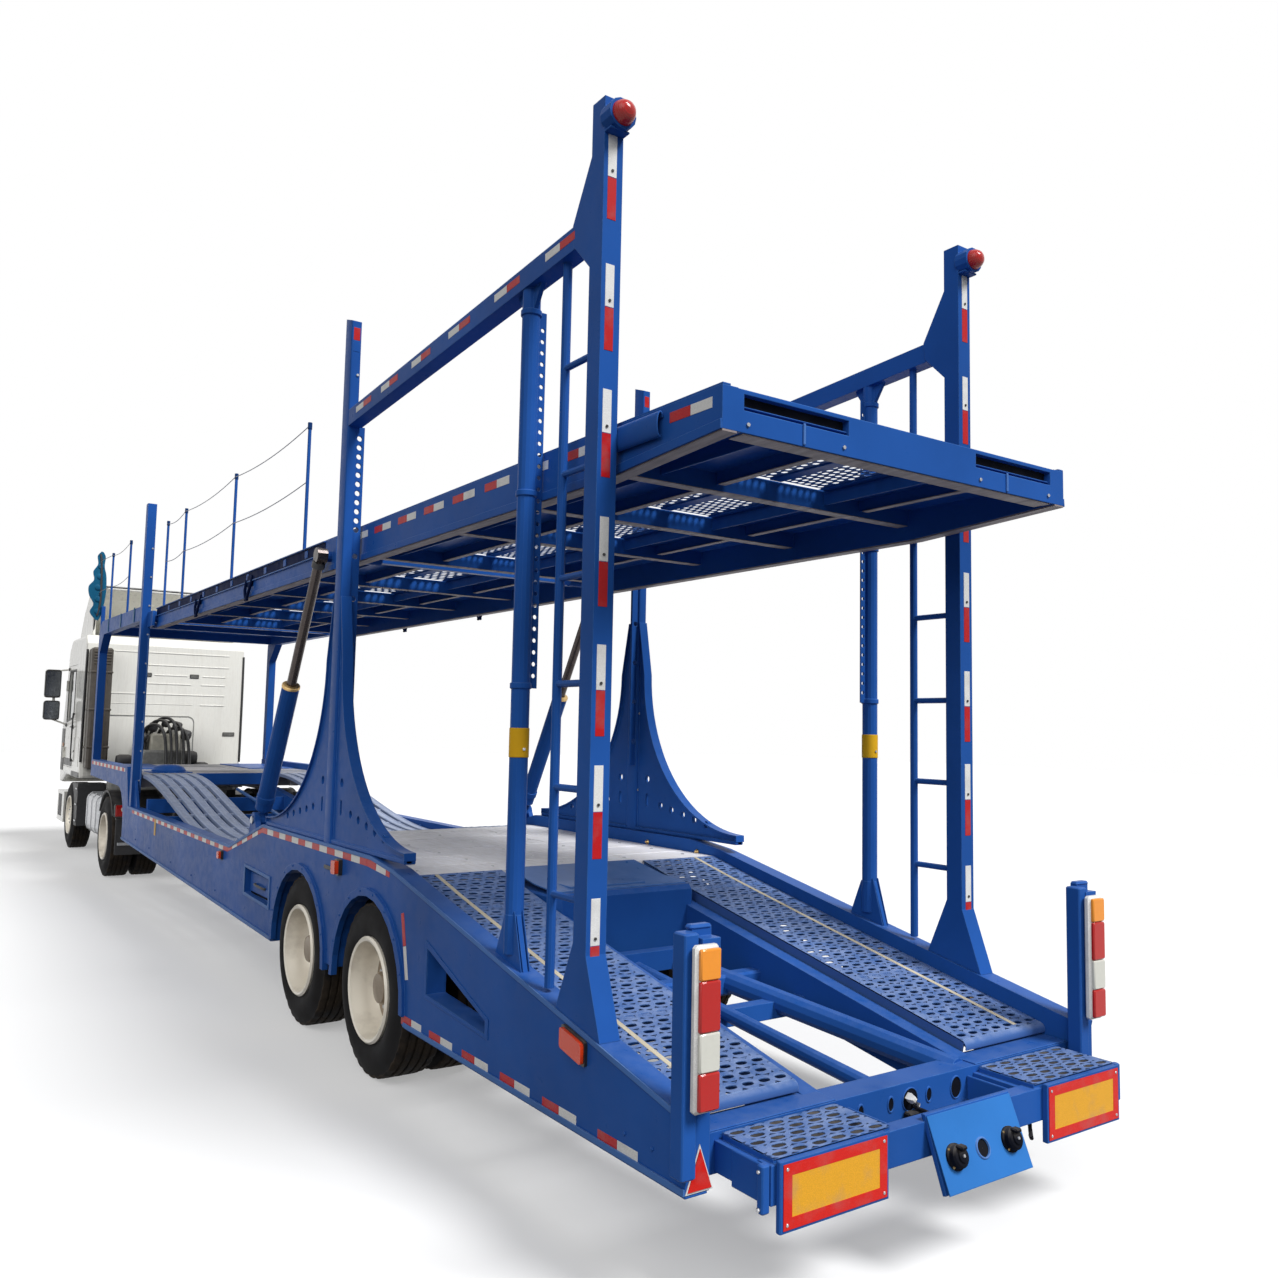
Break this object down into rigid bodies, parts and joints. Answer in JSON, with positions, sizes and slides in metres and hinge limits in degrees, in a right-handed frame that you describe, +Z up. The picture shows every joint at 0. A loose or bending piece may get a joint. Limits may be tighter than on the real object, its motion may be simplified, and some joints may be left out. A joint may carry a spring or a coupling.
{
  "type": "car transporter truck",
  "caption": "Articulated car transporter: blue two-deck semi-trailer with hinged upper decks and lift cylinders behind a white sleeper-cab tractor.",
  "frame": {"origin": "on the ground under the middle of the whole vehicle", "axes": "+X forward from the trailer's tail to the cab, +Y to the driver's left, +Z up"},
  "size_m": [18.14, 3.12, 4.86],
  "materials": {
    "blue_steel": "royal blue gloss enamel, dusty, chipped at edges",
    "deck_plate": "worn beige and grey deck plate",
    "white_cab": "white gloss enamel",
    "dark_metal": "dark chassis paint with road dirt",
    "dark_plastic": "black moulded plastic and fabric",
    "rod_steel": "ground and oiled steel",
    "bright_metal": "dull aluminium",
    "glass": "tinted glass",
    "tyre": "black tyre with a cream steel rim",
    "board": "yellow reflective board with a red border"
  },
  "bodies": {
    "trailer": {"front_platform": "blue_steel", "trailer_chassis": "blue_steel", "tail_frame": "blue_steel", "axle_deck": "deck_plate", "gooseneck_deck": "deck_plate", "kingpin_plate": "dark_metal", "trailer_axle_1": "dark_metal", "trailer_axle_2": "dark_metal", "landing_legs": "dark_metal", "side_frame_left": "blue_steel", "side_frame_right": "blue_steel", "rear_rack_left": "blue_steel", "rear_rack_right": "blue_steel", "mid_post_left": "blue_steel", "mid_post_right": "blue_steel", "front_post_left": "blue_steel", "front_post_right": "blue_steel", "rear_track_left": "blue_steel", "rear_track_right": "blue_steel", "slat_track_left": "blue_steel", "slat_track_right": "blue_steel", "neck_slats_left": "blue_steel", "neck_slats_right": "blue_steel", "marker_board_left": "board", "marker_board_right": "board"},
    "front_deck": {"front_upper_deck": "blue_steel"},
    "rear_deck": {"rear_upper_deck": "blue_steel"},
    "tractor": {"tractor_frame": "dark_metal", "fifth_wheel": "dark_metal", "drive_axle": "dark_metal", "front_axle": "dark_metal", "engine_block": "dark_metal", "fuel_tank": "bright_metal", "battery_box": "dark_plastic", "front_bumper": "white_cab"},
    "cab": {"cab_shell": "white_cab", "windscreen": "glass", "roof_deflector": "white_cab", "cab_interior": "dark_plastic", "air_intake_stack": "dark_plastic"},
    "cylinder_left": {"lift_barrel_left": "blue_steel"},
    "rod_left": {"lift_rod_left": "rod_steel"},
    "door_left": {"door_left": "white_cab", "door_glass_left": "glass"},
    "knuckle_left": {"steering_knuckle_left": "dark_metal"},
    "front_wheel_left": {"front_wheel_left": "tyre"},
    "drive_wheel_left": {"drive_wheel_left": "tyre"},
    "trailer_wheel_1_left": {"trailer_wheel_1_left": "tyre"},
    "trailer_wheel_2_left": {"trailer_wheel_2_left": "tyre"},
    "cylinder_right": {"lift_barrel_right": "blue_steel"},
    "rod_right": {"lift_rod_right": "rod_steel"},
    "door_right": {"door_right": "white_cab", "door_glass_right": "glass"},
    "knuckle_right": {"steering_knuckle_right": "dark_metal"},
    "front_wheel_right": {"front_wheel_right": "tyre"},
    "drive_wheel_right": {"drive_wheel_right": "tyre"},
    "trailer_wheel_1_right": {"trailer_wheel_1_right": "tyre"},
    "trailer_wheel_2_right": {"trailer_wheel_2_right": "tyre"}
  },
  "joints": [
    {"name": "front_deck_lift", "type": "hinge", "parent": "trailer", "child": "front_deck", "pos_m": [1.89, 0, 3.28], "axis": [0, 1, 0], "range_deg": [-10, 1]},
    {"name": "rear_deck_tilt", "type": "hinge", "parent": "front_deck", "child": "rear_deck", "pos_m": [-4.43, 0, 3.27], "axis": [0, 1, 0], "range_deg": [-6, 8]},
    {"name": "cylinder_swing_left", "type": "hinge", "parent": "trailer", "child": "cylinder_left", "pos_m": [-3.08, 1.185, 1.3], "axis": [0, 1, 0], "range_deg": [-19.2, 2]},
    {"name": "rod_slide_left", "type": "slide", "parent": "cylinder_left", "child": "rod_left", "axis": [-0.5087, 0, 0.8609], "range_m": [-0.89, 0.09]},
    {"name": "cylinder_swing_right", "type": "hinge", "parent": "trailer", "child": "cylinder_right", "pos_m": [-3.08, -1.185, 1.3], "axis": [0, 1, 0], "range_deg": [-19.2, 2]},
    {"name": "rod_slide_right", "type": "slide", "parent": "cylinder_right", "child": "rod_right", "axis": [-0.5087, 0, 0.8609], "range_m": [-0.89, 0.09]},
    {"name": "fifth_wheel_turn", "type": "hinge", "parent": "trailer", "child": "tractor", "pos_m": [4.17, 0, 1.165], "axis": [0, 0, 1], "range_deg": [-60, 60]},
    {"name": "cab_tilt", "type": "hinge", "parent": "tractor", "child": "cab", "pos_m": [8.91, 0, 0.95], "axis": [0, 1, 0], "range_deg": [0, 50]},
    {"name": "door_left_hinge", "type": "hinge", "parent": "cab", "child": "door_left", "pos_m": [8.607, 1.218, 2.1], "axis": [0, 0, -1], "range_deg": [0, 70]},
    {"name": "door_right_hinge", "type": "hinge", "parent": "cab", "child": "door_right", "pos_m": [8.607, -1.218, 2.1], "axis": [0, 0, 1], "range_deg": [0, 70]},
    {"name": "steer_left", "type": "hinge", "parent": "tractor", "child": "knuckle_left", "pos_m": [7.67, 0.9, 0.525], "axis": [0, 0, 1], "range_deg": [-35, 35]},
    {"name": "front_wheel_left_roll", "type": "hinge", "parent": "knuckle_left", "child": "front_wheel_left", "pos_m": [7.67, 1.055, 0.525], "axis": [0, 1, 0], "continuous": true},
    {"name": "drive_wheel_left_roll", "type": "hinge", "parent": "tractor", "child": "drive_wheel_left", "pos_m": [3.97, 0.92, 0.525], "axis": [0, 1, 0], "continuous": true},
    {"name": "steer_right", "type": "hinge", "parent": "tractor", "child": "knuckle_right", "pos_m": [7.67, -0.9, 0.525], "axis": [0, 0, 1], "range_deg": [-35, 35]},
    {"name": "front_wheel_right_roll", "type": "hinge", "parent": "knuckle_right", "child": "front_wheel_right", "pos_m": [7.67, -1.055, 0.525], "axis": [0, 1, 0], "continuous": true},
    {"name": "drive_wheel_right_roll", "type": "hinge", "parent": "tractor", "child": "drive_wheel_right", "pos_m": [3.97, -0.92, 0.525], "axis": [0, 1, 0], "continuous": true},
    {"name": "trailer_wheel_1_left_roll", "type": "hinge", "parent": "trailer", "child": "trailer_wheel_1_left", "pos_m": [-5.62, 0.92, 0.505], "axis": [0, 1, 0], "continuous": true},
    {"name": "trailer_wheel_1_right_roll", "type": "hinge", "parent": "trailer", "child": "trailer_wheel_1_right", "pos_m": [-5.62, -0.92, 0.505], "axis": [0, 1, 0], "continuous": true},
    {"name": "trailer_wheel_2_left_roll", "type": "hinge", "parent": "trailer", "child": "trailer_wheel_2_left", "pos_m": [-4.31, 0.92, 0.505], "axis": [0, 1, 0], "continuous": true},
    {"name": "trailer_wheel_2_right_roll", "type": "hinge", "parent": "trailer", "child": "trailer_wheel_2_right", "pos_m": [-4.31, -0.92, 0.505], "axis": [0, 1, 0], "continuous": true}
  ],
  "couplings": [
    {"joint": "cylinder_swing_left", "follows": "front_deck_lift", "ratio": 1.91},
    {"joint": "cylinder_swing_right", "follows": "front_deck_lift", "ratio": 1.91},
    {"joint": "rod_slide_left", "follows": "front_deck_lift", "m_per_rad": 5.086},
    {"joint": "rod_slide_right", "follows": "front_deck_lift", "m_per_rad": 5.086},
    {"joint": "steer_right", "follows": "steer_left", "ratio": 1}
  ]
}
